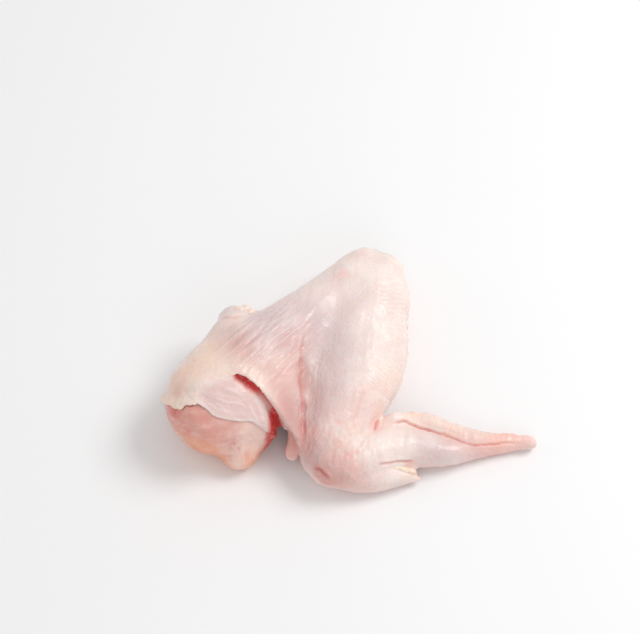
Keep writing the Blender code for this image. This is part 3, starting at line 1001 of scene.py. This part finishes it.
pale = around((
    (228, 430, 6, 0.2), (240, 434, 5, 0.4), (252, 427, 4, 0.8), (249, 440, 4, 1.0),
    (238, 458, 4, 0.4), (238, 466, 4, 0.9), (256, 437, 4, 0.7), (262, 436, 2, 0.6),
    (255, 446, 4, 0.9), (186, 420, 5, 0.25),
)) + 0.15 * cloudy(skin_at, 4, 33) + 0.5 * striped * (stripes - 0.5)
red = around((
    (172, 413, 6, 0.6), (182, 418, 6, 0.2), (178, 404, 4, 0.6), (182, 432, 7, 0.5),
    (196, 416, 5, 0.25), (170, 425, 6, 0.5), (212, 432, 7, 0.2), (258, 455, 4, 0.3),
)) + 0.1 * cloudy(skin_at, 4, 35)
rim = pixel * flat_distance(in_photo, RIM_LINE) + 0.5 * cloudy(skin_at, 4, 36)
rim = 1 - ease(rim, 0.8, 5.5)
rim *= 1 - 0.7 * np.clip(around(((236, 462, 4, 1.0),)), 0, 1)
rim += around(((205, 447, 5, 0.5), (250, 457, 4, 0.35)))
rim *= 1 - 0.8 * np.clip(around(((255, 445, 3.5, 1.0),)), 0, 1)
# Painted shade on the flap's top, under the web's edge.
flap_top_shade = np.clip(around(FLAP_TOP_SHADE), 0, 1) * (past_cut > -2)
flesh_masks = {
    "pale": pale * (1 - raw),
    "red": np.maximum(red, flap_top_shade),
    "rim": rim * (1 - raw),
    "raw": raw,
}

flesh_part = cut_out(-FLESH_UNDER_SKIN, np.inf, flesh_places)
keep_largest(flesh_part)
soften_edge(flesh_part, 3)
flesh_part.normal_update()
flesh = piece_from(flesh_part, "shoulder_flesh", flesh_masks)

flesh_finish, tree, shader = new_finish("raw_chicken_flesh")
colour = two_toned(tree, 7, (0.3, 0.7), (230, 176, 164), (220, 156, 146))
colour = tinted(tree, colour, (
    # mask, strength and tint
    # the meat's own red, and on the flap's top painted shade
    ("red", 0.7, (214, 104, 90)),
    ("rim", 0.85, (236, 152, 108)),
    ("pale", 0.75, (250, 218, 204)),
    ("raw", 0.97, RAW_TINT),
))
fibres = grain(tree, 1.6, 3, 0.6, stretch=(70, (0.12, 1.0, 1.0)))[0]
colour = mixed(tree, ranged(tree, fibres, 0.45, 0.7, 0, 0.35), colour, tint(244, 208, 196))
tree.links.new(colour, shader.inputs["Base Color"])
beads = wetted(tree, shader, 9.0, 1.0, 0.42, ranged(tree, mask_of(tree, "raw"), 0, 1, 1, 0.15))
bump = bumped(tree, fibres, 0.2, 0.5)
tree.links.new(bumped(tree, beads, 0.1, 0.4, bump), shader.inputs["Normal"])
glow_within(shader, 0.25, (1.0, 0.35, 0.25), 3.0)
shader.inputs["Coat Roughness"].default_value = 0.1
dress(flesh, flesh_finish)


# Fat by the far fold
# A torn shred of soft white fat stands up beside the fold on the far side of the drumette. It is
# a few round lumps grown together, and holds to the skin by its root.
FAT_LUMPS = (
    # pixel of the photograph, three radii and turn about Z, in millimetres and degrees
    ((245, 309), (2.2, 1.5, 1.2), 40), ((249, 312), (2.4, 1.3, 1.0), 20),
    ((241, 310), (2.6, 1.8, 0.8), 0),
)
FAT_VOXEL, FAT_LUMPINESS = 0.22, 0.3

fat_shape = bmesh.new()
for (across, down), radii, turn in FAT_LUMPS:
    centre = seen_at(across, down)
    made = bmesh.ops.create_icosphere(fat_shape, subdivisions=3, radius=1)
    cos, sin = math.cos(math.radians(turn)), math.sin(math.radians(turn))
    for vert in made["verts"]:
        x, y, z = (vert.co[axis] * radii[axis] for axis in range(3))
        vert.co = (Vector((x * cos - y * sin, x * sin + y * cos, z)) + centre) * MM
fat_mesh = bpy.data.meshes.new("edge_fat")
fat_shape.to_mesh(fat_mesh)
fat_shape.free()
edge_fat = in_scene("edge_fat", fat_mesh)
fuse = edge_fat.modifiers.new("fuse", "REMESH")
fuse.mode = "VOXEL"
fuse.voxel_size = FAT_VOXEL * MM
soften = edge_fat.modifiers.new("soften", "SMOOTH")
soften.iterations = 4
fused = modified_mesh(edge_fat)
edge_fat.data = fused
fused.name = "edge_fat"
fat_at = points_of(fused)
fat_height = FAT_LUMPINESS * cloudy(fat_at, 1.3, 41)
fat_at += normals_of(fused) * fat_height[:, None]
fused.vertices.foreach_set("co", (fat_at * MM).ravel())
shade_smooth(fused)

fat_finish, tree, shader = new_finish("chicken_fat")
colour = two_toned(tree, 2, (0.35, 0.65), (250, 232, 220), (240, 212, 198))
tree.links.new(colour, shader.inputs["Base Color"])
wetted(tree, shader, 3.0, 0.6, 0.45)
globules = grain(tree, 0.9, kind="ShaderNodeTexVoronoi")["Distance"]
bump = node_in(tree, "ShaderNodeBump", {
    "Height": globules, "Distance": 0.08 * MM, "Strength": 0.4}, invert=True)
tree.links.new(bump.outputs[0], shader.inputs["Normal"])
glow_within(shader, 0.15, (1.0, 0.7, 0.6), 1.0)
shader.inputs["Coat Roughness"].default_value = 0.12
dress(edge_fat, fat_finish)


# Quill follicles
# The flight feathers were pulled from the trailing edge of the forearm. Each left a soft nub of
# skin with a small pit in its end. They stand in one row, a few millimetres apart, and have the
# skin's own finish.
FOLLICLE_SPACING = 5.4
# Radius and rise of each ring of a nub, from its root in the skin to the pit in its end
FOLLICLE_PROFILE = ((1.7, -1.0), (1.35, -0.25), (0.95, 0.15), (0.65, 0.45), (0.46, 0.58),
                    (0.3, 0.55), (0.12, 0.4))
FOLLICLE_SIDES = 14
FOLLICLE_ROW_HEIGHT = 10.5
ROW_FROM, ROW_TO, ROW_STEP = 27.0, -15.0, 1.5
ROW_SEEN_FROM = 80
SMALLEST, GROWN_BY, FADED_EARLY = 0.45, 0.75, 1.15
# Tints laid on every nub, each a mask and its strength: pink, lavender with some painted shade, and
# a little painted shade.
PULLED_SKIN = (("blush", 0.4), ("lavender_and_shade", 0.35), ("painted_shade", 0.2))
LEAN_TO_TIP = 0.6


def ring_form(name, rings):
    """A closed mesh through rings of points in millimetres, capped at both ends."""
    form = bmesh.new()
    rows = [[form.verts.new(place * MM) for place in ring] for ring in rings]
    for low, high in zip(rows, rows[1:]):
        for index in range(len(low)):
            after = (index + 1) % len(low)
            form.faces.new((low[index], low[after], high[after], high[index]))
    form.faces.new(rows[-1])
    form.faces.new(rows[0][::-1])
    bmesh.ops.recalc_face_normals(form, faces=form.faces)
    mesh = bpy.data.meshes.new(name)
    form.to_mesh(mesh)
    form.free()
    return mesh


def around_circle(sides):
    """Cosine and sine of each corner of a regular ring."""
    turns = [2 * math.pi * corner / sides for corner in range(sides)]
    return [(math.cos(turn), math.sin(turn)) for turn in turns]


nub_rings = [
    [Vector((radius * x, radius * y, rise)) for x, y in around_circle(FOLLICLE_SIDES)]
    for radius, rise in FOLLICLE_PROFILE
]
nub = bpy.data.objects.new("follicle_nub", ring_form("follicle_nub", nub_rings))

row_places, row_ways, row_sizes = [], [], []
steps = int((ROW_FROM - ROW_TO) / ROW_STEP)
for step in range(steps + 1):
    start = Vector((ROW_SEEN_FROM, ROW_FROM - ROW_STEP * step, FOLLICLE_ROW_HEIGHT))
    place, facing, _, _ = wing_tree.ray_cast(start, Vector((-1, 0, 0)))
    row_places.append(place * MM)
    row_ways.append((facing + Vector((0, -LEAN_TO_TIP, 0))).normalized())
    along = min(1, step / steps * FADED_EARLY)
    row_sizes.append(SMALLEST + GROWN_BY * math.sin(math.pi * along) ** 2)
row_mesh = bpy.data.meshes.new("follicle_row")
row_mesh.from_pydata(row_places, [(i, i + 1) for i in range(steps)], [])
away = row_mesh.attributes.new("away", "FLOAT_VECTOR", "POINT")
away.data.foreach_set("vector", np.array([tuple(way) for way in row_ways], np.float32).ravel())
add_mask(row_mesh, "size", row_sizes)
follicle_row = in_scene("follicle_row", row_mesh)


def follicle_tree():
    """Sets one nub on each spacing of a row, leaning the way the row says, and of its size."""
    tree = bpy.data.node_groups.new("quill_follicles", "GeometryNodeTree")
    side = tree.interface
    side.new_socket("Row", in_out="INPUT", socket_type="NodeSocketGeometry")
    for name, kind in (("Nub", "NodeSocketObject"), ("Spacing", "NodeSocketFloat"),
                       ("Finish", "NodeSocketMaterial"), ("Seed", "NodeSocketInt")):
        side.new_socket(name, in_out="INPUT", socket_type=kind)
    side.new_socket("Follicles", in_out="OUTPUT", socket_type="NodeSocketGeometry")
    given = tree.nodes.new("NodeGroupInput").outputs
    line = node_in(tree, "GeometryNodeMeshToCurve", {"Mesh": given["Row"]})
    spaced = node_in(tree, "GeometryNodeResampleCurve", {
        "Curve": line.outputs[0], "Length": given["Spacing"]}, mode="LENGTH")
    way = node_in(tree, "GeometryNodeInputNamedAttribute", {"Name": "away"},
                  data_type="FLOAT_VECTOR")
    turned = node_in(tree, "FunctionNodeAlignRotationToVector",
                     {"Vector": way.outputs[0]}, axis="Z")
    grown = node_in(tree, "GeometryNodeInputNamedAttribute", {"Name": "size"}, data_type="FLOAT")
    varied = node_in(tree, "FunctionNodeRandomValue", {
        2: 0.7, 3: 1.25, "Seed": given["Seed"]}, data_type="FLOAT")
    scale = node_in(tree, "ShaderNodeMath", {0: grown.outputs[0], 1: varied.outputs[1]},
                    operation="MULTIPLY")
    shape = node_in(tree, "GeometryNodeObjectInfo", {"Object": given["Nub"]})
    placed = node_in(tree, "GeometryNodeInstanceOnPoints", {
        "Points": spaced.outputs[0], "Instance": shape.outputs["Geometry"],
        "Rotation": turned.outputs[0], "Scale": scale.outputs[0]})
    real = node_in(tree, "GeometryNodeRealizeInstances", {"Geometry": placed.outputs[0]})
    smooth = node_in(tree, "GeometryNodeSetShadeSmooth", {"Geometry": real.outputs[0]})
    dressed = node_in(tree, "GeometryNodeSetMaterial", {
        "Geometry": smooth.outputs[0], "Material": given["Finish"]})
    out = tree.nodes.new("NodeGroupOutput")
    tree.links.new(dressed.outputs[0], out.inputs["Follicles"])
    return tree


plant = follicle_row.modifiers.new("plant", "NODES")
plant.node_group = follicle_tree()
sockets = {item.name: item.identifier for item in plant.node_group.interface.items_tree
           if item.in_out == "INPUT"}
plant[sockets["Nub"]] = nub
plant[sockets["Spacing"]] = FOLLICLE_SPACING * MM
plant[sockets["Finish"]] = skin_finish
plant[sockets["Seed"]] = 3
follicle_mesh = modified_mesh(follicle_row)
bpy.data.objects.remove(follicle_row)
bpy.data.objects.remove(nub)
follicle_mesh.name = "quill_follicles"
for mask_name, share in PULLED_SKIN:
    add_mask(follicle_mesh, mask_name, np.full(len(follicle_mesh.vertices), share))
dress(in_scene("quill_follicles", follicle_mesh))


# Thumb claw
# The thumb ends in a small horny claw, cream and half clear, that grows out of a fold of skin. It
# swells a little past its root, droops to its point, and has faint growth ridges round it.
CLAW_SEEN = ((394, 467), (400, 468), (406, 470), (411, 471))
CLAW_SUNK = 0.75
CLAW_POINT, CLAW_DROOP = 1.9, 0.3
CLAW_HALF = (0.6, 1.1, 1.45, 1.55, 1.3, 0.5)
CLAW_NARROWER = 0.9
CLAW_SIDES = 20
CLAW_ROWS = 7
CLAW_RIDGES, CLAW_RIDGE_TURN = 0.05, 1.9

path = [seen_at(*place) - Vector((0, 0, CLAW_SUNK)) for place in CLAW_SEEN]
way_on = (path[-1] - path[-2]).normalized()
path.append(path[-1] + way_on * CLAW_POINT * 0.6)
path.append(path[-1] + way_on * CLAW_POINT * 0.4 - Vector((0, 0, CLAW_DROOP)))
rings = []
for row in range(CLAW_ROWS * (len(path) - 1) + 1):
    index = min(row // CLAW_ROWS, len(path) - 2)
    share = row / CLAW_ROWS - index
    centre = path[index].lerp(path[index + 1], share)
    half = CLAW_HALF[index] + (CLAW_HALF[index + 1] - CLAW_HALF[index]) * share
    heading = (path[index + 1] - path[index]).normalized()
    aside = heading.cross(Vector((0, 0, 1))).normalized()
    upwards = aside.cross(heading)
    half *= 1 + CLAW_RIDGES * math.sin(row * CLAW_RIDGE_TURN)
    rings.append([
        centre + (aside * x * CLAW_NARROWER + upwards * y) * half
        for x, y in around_circle(CLAW_SIDES)
    ])
claw_mesh = ring_form("thumb_claw", rings)
shade_smooth(claw_mesh)
claw = in_scene("thumb_claw", claw_mesh)

claw_finish, tree, shader = new_finish("claw_horn")
colour = two_toned(tree, 1.5, (0.35, 0.65), (251, 232, 214), (242, 212, 190))
tree.links.new(colour, shader.inputs["Base Color"])
bands = grain(tree, 0.6, 2, 0.5, stretch=(-20, (1.0, 0.3, 0.3)))[0]
tree.links.new(ranged(tree, bands, 0.3, 0.7, 0.3, 0.45), shader.inputs["Roughness"])
tree.links.new(bumped(tree, bands, 0.05, 0.6), shader.inputs["Normal"])
glow_within(shader, 0.2, (1.0, 0.7, 0.5), 1.0)
dress(claw, claw_finish)
